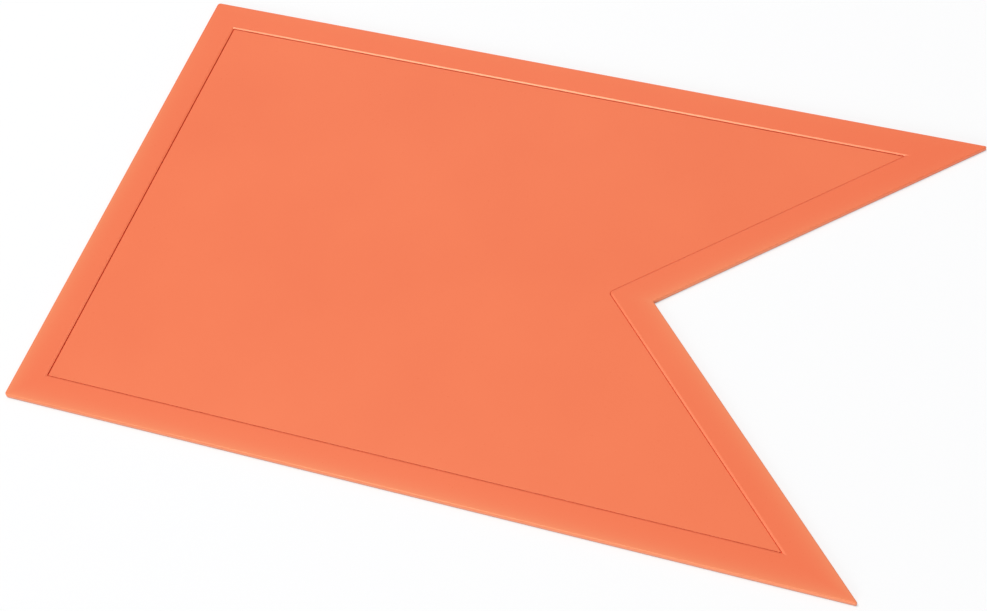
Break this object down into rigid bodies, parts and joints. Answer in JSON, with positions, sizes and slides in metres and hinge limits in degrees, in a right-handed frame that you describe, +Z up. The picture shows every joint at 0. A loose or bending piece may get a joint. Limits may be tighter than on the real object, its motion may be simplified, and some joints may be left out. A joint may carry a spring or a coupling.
{
  "type": "swallow-tail layout square",
  "caption": "Flat coral layout plate with square corners, a right-angled notch between two 45 degree tails, and a raised rim around a sunken inlaid sheet.",
  "frame": {"origin": "middle of the plate's footprint, on its underside", "axes": "+X along the plate from its straight end to the tail tips, +Y across it, +Z up out of its face"},
  "size_m": [0.281, 0.178, 0.0016],
  "materials": {
    "rim_plastic": "satin",
    "inlay_plastic": "satin",
    "adhesive": "matt"
  },
  "bodies": {
    "root": {"rim_tray": "rim_plastic", "field_inlay": "inlay_plastic", "adhesive_film": "adhesive"}
  },
  "joints": []
}
